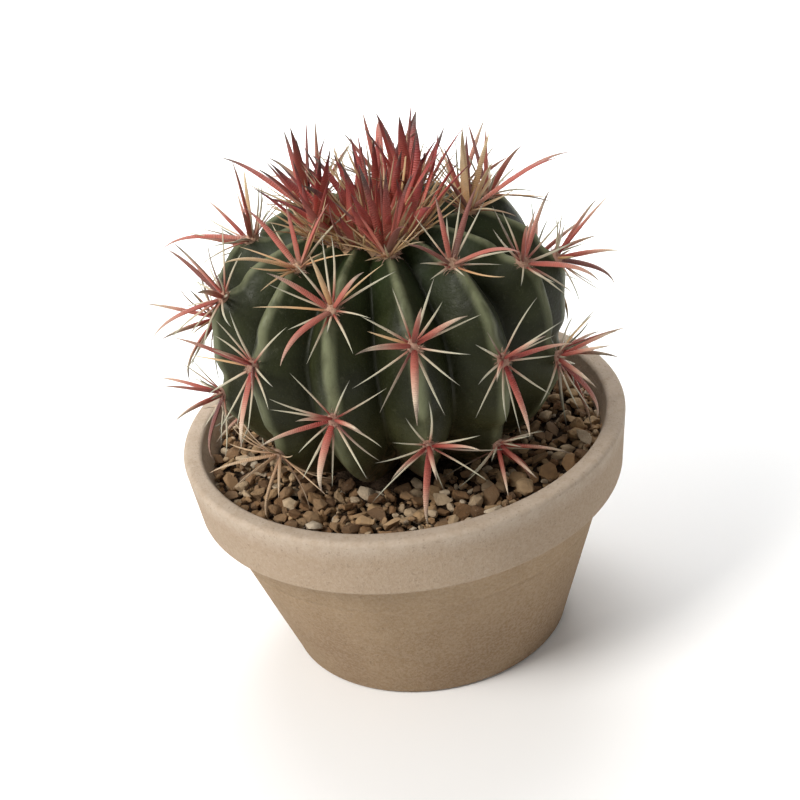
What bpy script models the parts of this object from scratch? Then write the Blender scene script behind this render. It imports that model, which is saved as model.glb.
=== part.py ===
"""A round, thirteen-ribbed cactus with red spines, growing in a low clay pot topped with gravel.

Metres, +Z up. The origin is the middle of the pot's foot, on the pot's axis, and -Y is the front.
The stem, with its taproot, is one grown piece. Each areole is a felt pad with the spines that grow
from it, made as one piece that sits on a rib's crest. The gravel and the potting mix are each one
settled mass, and both are cut to the stem that stands in them.
"""

import math
import random

import bmesh
import bpy
import numpy as np
from mathutils import Matrix, Vector

# Fits
CLEARANCE = 0.0003  # between pieces that touch
SEAT_GAP = 0.0006  # round the stem in its seat, where the grooves' sides slope
MERGE = 1e-6
SEED = 700  # of every small unevenness

# Pot: a tapered bowl with a plain raised band below its rim
RIM_DIAMETER = 0.150
POT_HEIGHT = 0.080
FOOT_DIAMETER = 0.0965
BAND_HEIGHT = 0.0215
BAND_TAPER = 0.0023  # the band's lower edge is this much nearer the axis than the rim
BAND_OVERHANG = 0.0050  # the band's lower edge stands this far out from the neck below it
LIP_WIDTH = 0.0065
LIP_ROUND = 0.0020
WALL = 0.0055
FLOOR = 0.0060
DRAIN_DIAMETER = 0.0160
FOOT_ROUND = 0.0020
POT_SIDES = 48

# Gravel and potting mix
GRAVEL_BELOW_RIM = 0.0060
GRAVEL_DEPTH = 0.0120
GRAIN = 0.0011  # how far the gravel's top rises and falls
GRAVEL_RINGS = 5
GRAVEL_SIDES = 44
SOIL_SIDES = 36

# Stem, measured on the ribs' crests
RIBS = 13
STEM_RADIUS = 0.0585
STEM_TOP = 0.0395  # from the widest level up to the shoulders
STEM_UNDER = 0.0460  # from the widest level down to the underside
STEM_WIDEST_OVER_GRAVEL = 0.0410
SHOULDER_SQUARENESS = 2.8  # 2 is round, more is squarer
UNDERSIDE_SQUARENESS = 2.2
CROWN_DIP = 0.0050
CROWN_DIP_RADIUS = 0.0160
RIB_DEPTH = 0.0115
RIB_SHARPNESS = 1.28  # 1 is a straight-sided rib, 2 a round one
GROOVE_FADE = 0.62  # the grooves run out over this share of the radius, towards the crown and the root
RIB_PHASE = math.radians(-21.0)  # the first rib's crest, from the front towards +X
COLUMNS_PER_RIB = 4  # even, so that a column runs down each groove
STEM_ROWS = 20
ROOT_RADIUS = 0.0080
ROOT_LENGTH = 0.0240
ROOT_TAPER = 0.55  # the root's radius near its tip, as a share of its radius at the stem

# Areoles, which follow one spiral down the ribs
AREOLES = 39
RIB_STEP = 8  # ribs from one areole to the next along the spiral
FIRST_RIB = 5
FIRST_ARC = 0.0080  # along the crest from the crown's middle
LAST_TO_GRAVEL = 0.0237  # along the crest from the last areole down to the gravel
ARC_CURVE = 0.97
CROWN_AREOLES = 4  # the youngest, which are part of the crown
PAD_LENGTH = 0.0068
PAD_WIDTH = 0.0050
PAD_HEIGHT = 0.0022

# Spines
RADIALS = 8
RADIAL_LENGTH = 0.0195
RADIAL_WIDTH = 0.00075
RADIAL_LIFT = 17.0  # degrees off the skin
CENTRAL_WIDTH = 0.00150
CENTRALS = (  # turn from the crown's side, lift off the skin, length
    (0.0, 62.0, 0.0240),
    (78.0, 44.0, 0.0225),
    (-78.0, 44.0, 0.0225),
    (180.0, 34.0, 0.0250),
)
BEND = 0.07  # how far a spine bows, as a share of its length
SPINE_GAP = 0.0020  # between the middles of two areoles' spines
SWINGS = (0, 8, -8, 16, -16, 24, -24, 32, -32)  # degrees that a spine may turn to clear the others
RAISES = (0, 12, 24, 36, 48)  # degrees that it may rise
TURNED_AWAY = 150.0  # degrees of swing and rise over which a spine would lose its whole length
CENTRAL_ROOT = (0.75, 0.78)  # shares of the pad's half size and of its height
RADIAL_ROOT = (1.0, 0.30)
TIP_OVER_GRAVEL = 0.0022
TIP_TO_POT = 0.0030
SPREAD = 0.0230  # no tip stands farther out than this from the widest crests

# Crown: the felt in the growing tip and its young spines
FELT_TO_PAD = 0.0010  # from the felt's edge to the nearest areole's pad, along the crest
CROWN_HEIGHT = 0.0042
CROWN_RINGS = (0.34, 0.68, 1.0)  # shares of the crown's radius
CROWN_SIDES = 12
CROWN_SPINE_LENGTH = 0.0290
CROWN_SPINE_WIDTH = 0.0018
CROWN_LEAN = 0.75  # how far a spine at the felt's edge leans out, as a share of its rise
CROWN_SWAY = 0.16
CROWN_TRIES = 8

GRAVEL_TOP = POT_HEIGHT - GRAVEL_BELOW_RIM
WIDEST_LEVEL = GRAVEL_TOP + STEM_WIDEST_OVER_GRAVEL
UP = Vector((0, 0, 1))


def clear_scene():
    for obj in list(bpy.data.objects):
        bpy.data.objects.remove(obj)


def material(name, colour, roughness):
    made = bpy.data.materials.new(name)
    made.use_nodes = True
    shader = made.node_tree.nodes["Principled BSDF"]
    shader.inputs["Base Color"].default_value = (*colour, 1)
    shader.inputs["Roughness"].default_value = roughness
    shader.inputs["Metallic"].default_value = 0
    return made


def object_from(bm, name, look, smooth_angle=40):
    """The mesh as an object in the scene."""
    mesh = bpy.data.meshes.new(name)
    bm.to_mesh(mesh)
    bm.free()
    mesh.materials.append(look)
    mesh.shade_smooth()
    mesh.set_sharp_from_angle(angle=math.radians(smooth_angle))
    obj = bpy.data.objects.new(name, mesh)
    bpy.context.scene.collection.objects.link(obj)
    return obj


def cut(obj, cutter):
    """Takes the cutter's shape out of the object."""
    modifier = obj.modifiers.new("cut_" + cutter.name, "BOOLEAN")
    modifier.operation = "DIFFERENCE"
    modifier.object = cutter


def arc(centre, radius, start, end, steps=3):
    """Points (r, z) along a round edge, with its angles in degrees."""
    turns = [math.radians(start + (end - start) * i / steps) for i in range(steps + 1)]
    return [(centre[0] + radius * math.cos(a), centre[1] + radius * math.sin(a)) for a in turns]


def turned(outline, sides, closed):
    """A bmesh of the outline (r, z) turned about +Z. An open outline starts and ends on the axis."""
    bm = bmesh.new()
    verts = [bm.verts.new((r, 0, z)) for r, z in outline]
    pairs = list(zip(verts, verts[1:] + verts[:1])) if closed else list(zip(verts, verts[1:]))
    edges = [bm.edges.new(pair) for pair in pairs]
    bmesh.ops.spin(
        bm,
        geom=verts + edges,
        cent=(0, 0, 0),
        axis=UP,
        angle=2 * math.pi,
        steps=sides,
        use_merge=True,
    )
    bmesh.ops.remove_doubles(bm, verts=bm.verts, dist=MERGE)
    bmesh.ops.recalc_face_normals(bm, faces=bm.faces)
    return bm


# ---------------------------------------------------------------- pot


def neck_radius():
    """The pot's outside just below the band."""
    return RIM_DIAMETER / 2 - BAND_TAPER - BAND_OVERHANG


def inside_radius(z):
    """The pot's inside at height z: a slope up to the neck, then a steeper one to the lip."""
    neck_level = POT_HEIGHT - BAND_HEIGHT
    levels = (0, neck_level, POT_HEIGHT)
    radii = (FOOT_DIAMETER / 2 - WALL, neck_radius() - WALL, RIM_DIAMETER / 2 - LIP_WIDTH)
    return float(np.interp(z, levels, radii))


def make_pot(look):
    rim, foot, neck_level = RIM_DIAMETER / 2, FOOT_DIAMETER / 2, POT_HEIGHT - BAND_HEIGHT
    band_foot = rim - BAND_TAPER
    edge = LIP_ROUND / 2
    outline = [(DRAIN_DIAMETER / 2, 0)]
    outline += arc((foot - FOOT_ROUND, FOOT_ROUND), FOOT_ROUND, -90, -30, 2)
    outline += [(neck_radius(), neck_level)]
    outline += arc((band_foot - edge, neck_level + edge), edge, -90, 0, 2)
    outline += arc((rim - LIP_ROUND, POT_HEIGHT - LIP_ROUND), LIP_ROUND, 0, 90)
    outline += arc((rim - LIP_WIDTH + LIP_ROUND, POT_HEIGHT - LIP_ROUND), LIP_ROUND, 90, 180)
    outline += [(inside_radius(neck_level), neck_level)]
    outline += [(inside_radius(FLOOR), FLOOR), (DRAIN_DIAMETER / 2, FLOOR)]
    return object_from(turned(outline, POT_SIDES, closed=True), "pot", look, 30)


# ---------------------------------------------------------------- stem


HALF = 200  # points on the crest from the crown's middle to the widest level


def crest_outline():
    """The rib's crest from the crown's middle to the underside: arrays of arc length, r and z."""
    up = np.linspace(math.pi / 2, 0, HALF)
    down = np.linspace(0, -math.pi / 2, HALF)[1:]

    def half(angles, height, squareness):
        r = STEM_RADIUS * np.abs(np.cos(angles)) ** (2 / squareness)
        z = np.sign(angles) * height * np.abs(np.sin(angles)) ** (2 / squareness)
        return r, z

    r_up, z_up = half(up, STEM_TOP, SHOULDER_SQUARENESS)
    z_up = z_up - CROWN_DIP * np.exp(-((r_up / CROWN_DIP_RADIUS) ** 2))
    r_down, z_down = half(down, STEM_UNDER, UNDERSIDE_SQUARENESS)
    r = np.concatenate([r_up, r_down])
    z = np.concatenate([z_up, z_down]) + WIDEST_LEVEL
    lengths = np.concatenate([[0], np.cumsum(np.hypot(np.diff(r), np.diff(z)))])
    return lengths, r, z


CREST = crest_outline()


def crest_at(arc_length):
    """(r, z) on the crest and the outward normal (r, z) there."""
    lengths, r, z = CREST
    step = 0.0008
    ahead, behind = arc_length + step, max(arc_length - step, 0)
    dr = np.interp(ahead, lengths, r) - np.interp(behind, lengths, r)
    dz = np.interp(ahead, lengths, z) - np.interp(behind, lengths, z)
    normal = Vector((-dz, dr)).normalized()
    if arc_length <= 0:
        normal = Vector((0, 1))
    return np.interp(arc_length, lengths, r), np.interp(arc_length, lengths, z), normal


def crest_arc(radius=None, level=None):
    """The arc length where the underside of the crest comes in to a radius or down to a level."""
    lengths, r, z = CREST
    if level is not None:
        return float(np.interp(-level, -z[HALF:], lengths[HALF:]))
    return float(np.interp(-radius, -r[HALF:], lengths[HALF:]))


def groove(turn):
    """How deep the skin lies between two crests at this turn: 0 on a crest, 1 in a groove."""
    share = ((turn - RIB_PHASE) * RIBS / (2 * math.pi) + 0.5) % 1 - 0.5
    return abs(2 * share) ** RIB_SHARPNESS


def outward(turn):
    """The level direction at a turn from the front (-Y) towards +X."""
    return Vector((math.sin(turn), -math.cos(turn), 0))


def stem_mesh(grown):
    """The ribbed stem on its taproot, grown all over by this much."""
    arcs = [crest_arc(radius=ROOT_RADIUS) * i / STEM_ROWS for i in range(STEM_ROWS + 1)]
    rows = [crest_at(a) for a in arcs]
    outline = [(row_r + grown * n.x, row_z + grown * n.y) for row_r, row_z, n in rows]
    outline[0] = (0, outline[0][1])
    outline[-1] = (ROOT_RADIUS + grown, rows[-1][1] - grown)
    tip_level = rows[-1][1] - ROOT_LENGTH
    outline += [(ROOT_RADIUS * ROOT_TAPER + grown, tip_level + ROOT_RADIUS), (0, tip_level - grown)]
    bm = turned(outline, RIBS * COLUMNS_PER_RIB, closed=False)
    bmesh.ops.rotate(bm, verts=bm.verts, matrix=Matrix.Rotation(RIB_PHASE - math.pi / 2, 3, "Z"))
    for vert in bm.verts:
        radius = math.hypot(vert.co.x, vert.co.y)
        if radius < MERGE or vert.co.z < outline[-3][1] - MERGE:
            continue
        nearest = min(range(len(rows)), key=lambda i: math.dist(outline[i], (radius, vert.co.z)))
        normal = rows[nearest][2]
        turn = math.atan2(vert.co.x, -vert.co.y)
        fade = min(1, max(0, (radius - ROOT_RADIUS) / (STEM_RADIUS * GROOVE_FADE)))
        sink = RIB_DEPTH * fade * groove(turn)
        vert.co -= (outward(turn) * normal.x + UP * normal.y) * sink
    return bm


# ---------------------------------------------------------------- gravel and potting mix


def make_gravel(look):
    bottom = GRAVEL_TOP - GRAVEL_DEPTH
    outline = [(0, bottom), (inside_radius(bottom) - CLEARANCE, bottom)]
    edge = inside_radius(GRAVEL_TOP) - CLEARANCE
    shares = [1 - i / GRAVEL_RINGS for i in range(GRAVEL_RINGS + 1)]
    outline += [(edge * share, GRAVEL_TOP - GRAIN) for share in shares]
    bm = turned(outline, GRAVEL_SIDES, closed=False)
    rng = random.Random(SEED)
    for vert in bm.verts:
        on_top = vert.co.z > bottom + MERGE
        at_wall = math.hypot(vert.co.x, vert.co.y) > edge - MERGE
        if on_top and not at_wall:
            vert.co.z += rng.uniform(0, 2 * GRAIN)
    return object_from(bm, "gravel", look)


def make_soil(look):
    top = GRAVEL_TOP - GRAVEL_DEPTH - CLEARANCE
    bottom = FLOOR + CLEARANCE
    neck_level = POT_HEIGHT - BAND_HEIGHT
    levels = [bottom, neck_level, top] if top > neck_level else [bottom, top]
    outline = [(0, bottom)] + [(inside_radius(z) - CLEARANCE, z) for z in levels] + [(0, top)]
    return object_from(turned(outline, SOIL_SIDES, closed=False), "potting_mix", look)


# ---------------------------------------------------------------- areoles and spines


def face_at(bm, centre):
    return min(bm.faces, key=lambda face: (face.calc_center_median() - centre).length)


def resize(face, width):
    """Scales a face about its middle so that it is about this wide."""
    middle = face.calc_center_median()
    across = 2 * sum((v.co - middle).length for v in face.verts) / len(face.verts)
    for vert in face.verts:
        vert.co = middle + (vert.co - middle) * (width / across)


def grow_spine(bm, root, bend, tip, width, joints):
    """Draws a spine out of the pad's face nearest the root, through the bend, to a point at the tip."""
    face = bmesh.ops.extrude_discrete_faces(bm, faces=[face_at(bm, root)])["faces"][0]
    resize(face, width)
    for i in range(1, joints + 1):
        share = i / (joints + 1)
        face = bmesh.ops.extrude_discrete_faces(bm, faces=[face])["faces"][0]
        move = bezier(root, bend, tip, share) - face.calc_center_median()
        bmesh.ops.translate(bm, verts=list(face.verts), vec=move)
        resize(face, width * (1 - share * 0.75))
    face = bmesh.ops.extrude_discrete_faces(bm, faces=[face])["faces"][0]
    bmesh.ops.pointmerge(bm, verts=list(face.verts), merge_co=tip)


def bezier(root, bend, tip, share):
    return root * (1 - share) ** 2 + bend * 2 * share * (1 - share) + tip * share**2


def spine_line(root, bend, tip, steps=24):
    return np.array([bezier(root, bend, tip, i / steps) for i in range(3, steps + 1)])


class SpinesSoFar:
    """Points down the middles of the spines that stand already, each with its owner's number."""

    def __init__(self):
        self.points = np.zeros((0, 3))
        self.owners = np.zeros(0, int)

    def add(self, owner, line):
        self.points = np.concatenate([self.points, line])
        self.owners = np.concatenate([self.owners, np.full(len(line), owner)])

    def gap(self, owner, line):
        others = self.points[self.owners != owner]
        gaps = np.linalg.norm(line[:, None] - others[None], axis=2)
        return gaps.min() if len(others) else math.inf

    def add_clearest(self, owner, choices):
        """Keeps the first choice of (root, bend, tip) that clears the others, or else the clearest."""
        widest = -math.inf
        for choice in choices:
            gap = self.gap(owner, spine_line(*choice))
            if gap > widest:
                widest, best = gap, choice
            if gap > SPINE_GAP:
                break
        self.add(owner, spine_line(*best))
        return best


class Areole:
    """A place on a rib's crest: its middle, its outward normal, and the way up to the crown."""

    def __init__(self, number):
        self.number = number
        self.share = number / (AREOLES - 1)
        last_arc = crest_arc(level=GRAVEL_TOP) - LAST_TO_GRAVEL
        self.arc = FIRST_ARC + (last_arc - FIRST_ARC) * self.share**ARC_CURVE
        self.rib = (RIB_STEP * number + FIRST_RIB) % RIBS
        self.turn = RIB_PHASE + 2 * math.pi * self.rib / RIBS
        r, z, normal = crest_at(self.arc)
        self.level = outward(self.turn)
        self.middle = self.level * float(r) + UP * float(z)
        self.normal = self.level * normal.x + UP * normal.y
        self.side = UP.cross(self.level).normalized()
        self.crownward = self.normal.cross(self.side)
        if self.crownward.dot(UP - self.level) < 0:
            self.crownward.negate()

    def heading(self, turn, lift):
        """The direction at a turn in the skin's plane, from the crown's side, lifted off the skin."""
        turn, lift = math.radians(turn), math.radians(lift)
        flat = self.crownward * math.cos(turn) + self.side * math.sin(turn)
        return flat * math.cos(lift) + self.normal * math.sin(lift)


def pad_mesh(areole):
    """The felt pad: a low oval dome of one wall ring, one shoulder ring and a top, on the crest."""
    bm = bmesh.new()
    loops = []
    for height, size in ((CLEARANCE, 1.0), (PAD_HEIGHT * 0.55, 0.96), (PAD_HEIGHT, 0.55)):
        ring = []
        for i in range(RADIALS):
            turn = 2 * math.pi * i / RADIALS
            along = areole.crownward * (math.cos(turn) * size * PAD_LENGTH / 2)
            across = areole.side * (math.sin(turn) * size * PAD_WIDTH / 2)
            ring.append(bm.verts.new(areole.middle + along + across + areole.normal * height))
        loops.append([bm.edges.new((ring[i], ring[(i + 1) % RADIALS])) for i in range(RADIALS)])
    bmesh.ops.bridge_loops(bm, edges=loops[0] + loops[1])
    bmesh.ops.bridge_loops(bm, edges=loops[1] + loops[2])
    bmesh.ops.contextual_create(bm, geom=loops[0])
    bmesh.ops.contextual_create(bm, geom=loops[2])
    bmesh.ops.recalc_face_normals(bm, faces=bm.faces)
    return bm


def held_in(tip):
    """The tip moved up from the gravel, in from the pot's lip, and in to the plant's spread."""
    tip = Vector((tip.x, tip.y, max(tip.z, GRAVEL_TOP + GRAIN + TIP_OVER_GRAVEL)))
    reach = STEM_RADIUS + SPREAD
    if tip.z < POT_HEIGHT + TIP_TO_POT:
        reach = min(reach, inside_radius(POT_HEIGHT) - TIP_TO_POT)
    pulled = min(1, reach / math.hypot(tip.x, tip.y))
    return Vector((tip.x * pulled, tip.y * pulled, tip.z))


def spine_plan(areole):
    """Each spine as (turn, lift, length, is central). Young spines are longer and more upright."""
    rng = random.Random(SEED + areole.number)
    young = 1 - areole.share
    plan = []
    for turn, lift, length in CENTRALS:
        turn += rng.uniform(-9, 9)
        lift += rng.uniform(-6, 6) + 8 * young
        plan.append((turn, lift, length * rng.uniform(0.9, 1.1) * (1 + 0.22 * young), True))
    for i in range(RADIALS):
        turn = 360 * (i + 0.5) / RADIALS + rng.uniform(-8, 8)
        lift = RADIAL_LIFT + rng.uniform(-5, 7) + 30 * young**2
        plan.append((turn, lift, RADIAL_LENGTH * rng.uniform(0.82, 1.1), False))
    return plan


def root_of(bm, areole, turn, central):
    """The middle of the pad's face that a spine leaves: on its shoulder if central, or on its side."""
    share, rise = CENTRAL_ROOT if central else RADIAL_ROOT
    step = 360 / RADIALS
    turn = math.radians((turn // step + 0.5) * step)
    along = areole.crownward * (math.cos(turn) * share * PAD_LENGTH / 2)
    across = areole.side * (math.sin(turn) * share * PAD_WIDTH / 2)
    place = areole.middle + along + across + areole.normal * (rise * PAD_HEIGHT)
    return face_at(bm, place).calc_center_median()


def ways_round(areole, root, turn, lift, length):
    """The spine as planned, and then swung or raised, and shorter for it."""
    for raised in RAISES:
        for swing in SWINGS:
            left = length * (1 - (abs(swing) + raised) / TURNED_AWAY)
            tip = held_in(root + areole.heading(turn + swing, lift + raised) * left)
            yield root, (root + tip) / 2 + areole.normal * (left * BEND), tip


def make_areole(areole, row, so_far, look):
    """The pad with its spines, which clear those of the other areoles."""
    bm = pad_mesh(areole)
    for turn, lift, length, central in spine_plan(areole):
        root = root_of(bm, areole, turn, central)
        line = so_far.add_clearest(areole.number, ways_round(areole, root, turn, lift, length))
        width, joints = (CENTRAL_WIDTH, 1) if central else (RADIAL_WIDTH, 0)
        grow_spine(bm, *line, width, joints)
    return object_from(bm, f"spines_rib{areole.rib + 1:02d}_row{row}", look, 60)


def side_areoles():
    """The areoles outside the crown, from the youngest to the oldest."""
    return [Areole(number) for number in range(CROWN_AREOLES, AREOLES)]


def crown_ways(root, crown_radius, rng):
    """Ways for a young spine to stand: the farther from the middle, the more it leans out."""
    lean = Vector((root.x, root.y, 0)) / crown_radius
    for _ in range(CROWN_TRIES):
        sway = Vector((rng.uniform(-1, 1), rng.uniform(-1, 1), 0)) * CROWN_SWAY
        length = CROWN_SPINE_LENGTH * rng.uniform(0.68, 1.08)
        tip = root + (UP + lean * CROWN_LEAN + sway).normalized() * length
        yield root, (root + tip) / 2 - lean * (length * BEND), tip


def make_crown(so_far, look):
    """The felt over the growing tip, seated on the crests, with the young spines standing in it."""
    edge_arc = side_areoles()[0].arc - PAD_LENGTH / 2 - FELT_TO_PAD
    crown_radius = float(crest_at(edge_arc)[0])
    lengths, r, z = CREST
    radii = [crown_radius * share for share in CROWN_RINGS]
    seat = [(radius, float(np.interp(radius, r[:HALF], z[:HALF]))) for radius in radii]
    outline = [(0, float(z[0]) + CLEARANCE)]
    outline += [(radius, level + 1.5 * CLEARANCE) for radius, level in seat]
    outline += [
        (radius * 0.97, level + CLEARANCE + CROWN_HEIGHT * (1.15 - 0.75 * share**2))
        for (radius, level), share in reversed(list(zip(seat, CROWN_RINGS)))
    ]
    outline += [(0, outline[-1][1] + CLEARANCE)]
    bm = turned(outline, CROWN_SIDES, closed=False)
    bm.normal_update()
    rng = random.Random(SEED + AREOLES)
    top = [face for face in bm.faces if face.normal.z > 0.5 and len(face.verts) == 4]
    roots = [face.calc_center_median() for face in top]
    roots.sort(key=lambda p: (round(math.hypot(p.x, p.y), 4), math.atan2(p.y, p.x)))
    felt = np.array([vert.co for vert in bm.verts] + [face.calc_center_median() for face in bm.faces])
    for owner, root in enumerate(roots, start=1):
        line = so_far.add_clearest(-owner, crown_ways(root, crown_radius, rng))
        grow_spine(bm, *line, CROWN_SPINE_WIDTH, 1)
    so_far.add(0, felt)
    return object_from(bm, "crown", look, 60)


def main():
    clear_scene()
    clay = material("fired_clay", (0.52, 0.41, 0.32), 0.82)
    skin = material("green_skin", (0.035, 0.085, 0.035), 0.45)
    red = material("crown_spine", (0.42, 0.09, 0.08), 0.5)
    pink = material("side_spine", (0.62, 0.36, 0.27), 0.5)
    stone = material("gravel_stone", (0.26, 0.19, 0.14), 0.9)
    mix = material("potting_mix", (0.07, 0.05, 0.035), 0.95)

    make_pot(clay)
    object_from(stem_mesh(0), "stem", skin, 30)
    cutter = object_from(stem_mesh(SEAT_GAP), "stem_seat", skin)
    cutter.hide_render = True
    cutter.display_type = "WIRE"
    cut(make_gravel(stone), cutter)
    cut(make_soil(mix), cutter)
    so_far = SpinesSoFar()
    make_crown(so_far, red)
    rows = dict.fromkeys(range(RIBS), 0)
    for areole in side_areoles():
        rows[areole.rib] += 1
        make_areole(areole, rows[areole.rib], so_far, pink)


main()
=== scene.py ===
import math
import random

import bmesh
import bpy
import numpy as np
from mathutils import Matrix, Vector, noise


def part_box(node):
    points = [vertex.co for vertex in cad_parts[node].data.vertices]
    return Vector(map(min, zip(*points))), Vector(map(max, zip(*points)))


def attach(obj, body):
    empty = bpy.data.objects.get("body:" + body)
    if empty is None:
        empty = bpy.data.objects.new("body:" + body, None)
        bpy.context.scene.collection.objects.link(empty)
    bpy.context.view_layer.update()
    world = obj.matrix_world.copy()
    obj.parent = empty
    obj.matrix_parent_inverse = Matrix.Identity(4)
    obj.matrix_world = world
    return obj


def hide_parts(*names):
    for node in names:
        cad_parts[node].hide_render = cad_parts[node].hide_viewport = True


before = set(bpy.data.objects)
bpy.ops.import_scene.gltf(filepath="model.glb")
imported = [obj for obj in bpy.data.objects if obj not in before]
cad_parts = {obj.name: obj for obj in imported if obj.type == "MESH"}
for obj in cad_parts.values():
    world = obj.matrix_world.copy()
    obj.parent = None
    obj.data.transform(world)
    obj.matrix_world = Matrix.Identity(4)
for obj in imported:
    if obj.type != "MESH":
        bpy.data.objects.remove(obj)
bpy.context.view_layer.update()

# ------------------------------------------------------------------ studio
# The plant stands on a plain pale floor under a broad soft key light from the upper left, with a
# weak fill from the right, a strip behind it, and a wide light on the floor beyond. The camera looks
# down on it from the front, turned a little so that the plant leans to the left.

UP = Vector((0, 0, 1))
FLOOR_COLOUR = (0.945, 0.955, 0.965, 1)
FLOOR_RADIUS = 6.0
FLOOR_DROP = 0.0002  # so that it never lies in the same plane as the pot's foot
SKY_COLOUR = (1.0, 0.985, 0.96, 1)
SKY_STRENGTH = 0.36
CAMERA_DISTANCE = 0.687
CAMERA_ELEVATION = math.radians(29.8)
CAMERA_ROLL = math.radians(8.5)
CAMERA_LENS = 92  # mm, on a sensor 36 mm wide

scene = bpy.context.scene
pot_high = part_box("pot")[1]
crown_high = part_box("crown")[1]
middle = Vector((0, 0, crown_high.z * 0.475))

world = bpy.data.worlds.new("studio")
scene.world = world
world.use_nodes = True
sky = world.node_tree.nodes["Background"]
sky.inputs["Color"].default_value = SKY_COLOUR
sky.inputs["Strength"].default_value = SKY_STRENGTH
scene.view_settings.view_transform = "Standard"


def add_light(name, place, size, watts, colour, target=None):
    """A square area light that faces the plant, or another target."""
    lamp = bpy.data.lights.new(name, "AREA")
    lamp.size = size
    lamp.energy = watts
    lamp.color = colour
    light = bpy.data.objects.new(name, lamp)
    light.location = place
    towards = (target or middle) - Vector(place)
    light.rotation_euler = towards.to_track_quat("-Z", "Y").to_euler()
    scene.collection.objects.link(light)


add_light("key", (-0.95, -0.60, 1.15), 0.60, 22, (1.0, 0.965, 0.92))
add_light("fill", (1.1, -0.6, 0.6), 0.9, 0.2, (1.0, 0.98, 0.95))
add_light("back_strip", (0.3, 1.1, 0.9), 0.5, 3, (1.0, 0.98, 0.95))
add_light("backdrop", (0.1, 1.1, 1.2), 1.2, 16, (1.0, 1.0, 1.0), Vector((0.1, 1.0, 0)))
bpy.data.lights["backdrop"].spread = math.radians(75)

camera = bpy.data.objects.new("camera", bpy.data.cameras.new("camera"))
camera.data.lens = CAMERA_LENS
camera.data.clip_start = 0.01
back = Vector((0, -math.cos(CAMERA_ELEVATION), math.sin(CAMERA_ELEVATION)))
camera.location = middle + back * CAMERA_DISTANCE
aim = (-back).to_track_quat("-Z", "Y").to_matrix()
camera.rotation_euler = (aim @ Matrix.Rotation(-CAMERA_ROLL, 3, "Z")).to_euler()
scene.collection.objects.link(camera)
scene.camera = camera


def add_node(tree, kind, settings=None, inputs=None):
    """A shader node with its settings, and its inputs set to values or linked from other sockets."""
    node = tree.nodes.new(kind)
    for name, value in (settings or {}).items():
        setattr(node, name, value)
    for name, value in (inputs or {}).items():
        if isinstance(value, bpy.types.NodeSocket):
            tree.links.new(value, node.inputs[name])
        else:
            node.inputs[name].default_value = value
    return node


def new_material(name, roughness, specular=0.5):
    """A material, its node tree and its Principled shader."""
    material = bpy.data.materials.new(name)
    material.use_nodes = True
    shader = material.node_tree.nodes["Principled BSDF"]
    shader.inputs["Roughness"].default_value = roughness
    shader.inputs["Specular IOR Level"].default_value = specular
    return material, material.node_tree, shader


def object_from(bm, name, material, crease=None):
    """The bmesh as a smooth-shaded object, with edges sharper than the crease angle left sharp."""
    mesh = bpy.data.meshes.new(name)
    bm.to_mesh(mesh)
    bm.free()
    mesh.materials.append(material)
    mesh.shade_smooth()
    if crease is not None:
        mesh.set_sharp_from_angle(angle=math.radians(crease))
    piece = bpy.data.objects.new(name, mesh)
    scene.collection.objects.link(piece)
    return piece


material, tree, shader = new_material("studio_floor", roughness=0.9)
shader.inputs["Base Color"].default_value = FLOOR_COLOUR
bm = bmesh.new()
bmesh.ops.create_circle(bm, cap_ends=True, segments=96, radius=FLOOR_RADIUS)
bmesh.ops.translate(bm, verts=bm.verts, vec=-UP * FLOOR_DROP)
floor = object_from(bm, "studio_floor", material)


# ------------------------------------------------------------------ pot
# A low tapered pot of unglazed, pinkish-grey fired clay, pressed in a turning mould. A plain band
# stands out below the rim, the lip is rounded, and the flat foot has one drain hole. The clay has
# fine grit in it, faint turning lines, and a pale bloom of lime where water has dried.

POT_HEIGHT = pot_high.z
RIM = pot_high.x
BAND_HEIGHT = 0.0215
BAND_FOOT = RIM - 0.0023
NECK = BAND_FOOT - 0.0050
FOOT = 0.04825
LIP_WIDTH = 0.0065
WALL = 0.0055
FLOOR_THICKNESS = 0.0060
DRAIN_RADIUS = 0.0080
NECK_LEVEL = POT_HEIGHT - BAND_HEIGHT
POT_STEPS = 256
WALL_WANDER = 0.00012  # hand-pressed clay is never quite true
TURNING_LINE = 0.0450  # the height of one groove that the mould left


def arc_points(centre, radius, start, end, steps):
    """Points (r, z) round an arc, with its angles in degrees."""
    angles = [math.radians(start + (end - start) * i / steps) for i in range(steps + 1)]
    return [(centre[0] + radius * math.cos(a), centre[1] + radius * math.sin(a)) for a in angles]


def line_points(start, end, steps):
    """Points between two corners of an outline, without the corners."""
    shares = [i / steps for i in range(1, steps)]
    return [tuple(a + (b - a) * share for a, b in zip(start, end)) for share in shares]


def spun(outline, steps, closed, arcs=()):
    """A bmesh of the outline (r, z) spun about +Z. An open outline starts and ends on the axis.

    arcs, one for each point of the outline, are kept on the mesh as the float "arc".
    """
    bm = bmesh.new()
    layer = bm.verts.layers.float.new("arc") if arcs else None
    verts = [bm.verts.new((r, 0, z)) for r, z in outline]
    for vert, arc in zip(verts, arcs):
        vert[layer] = arc
    ends = verts[1:] + verts[:1] if closed else verts[1:]
    edges = [bm.edges.new(pair) for pair in zip(verts, ends)]
    bmesh.ops.spin(
        bm, geom=verts + edges, cent=(0, 0, 0), axis=UP, angle=2 * math.pi, steps=steps, use_merge=True
    )
    bmesh.ops.remove_doubles(bm, verts=bm.verts, dist=1e-6)
    bmesh.ops.recalc_face_normals(bm, faces=bm.faces)
    return bm


def inside_radius(z):
    """The pot's inside at height z."""
    return float(np.interp(z, (0, NECK_LEVEL, POT_HEIGHT), (FOOT - WALL, NECK - WALL, RIM - LIP_WIDTH)))


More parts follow.
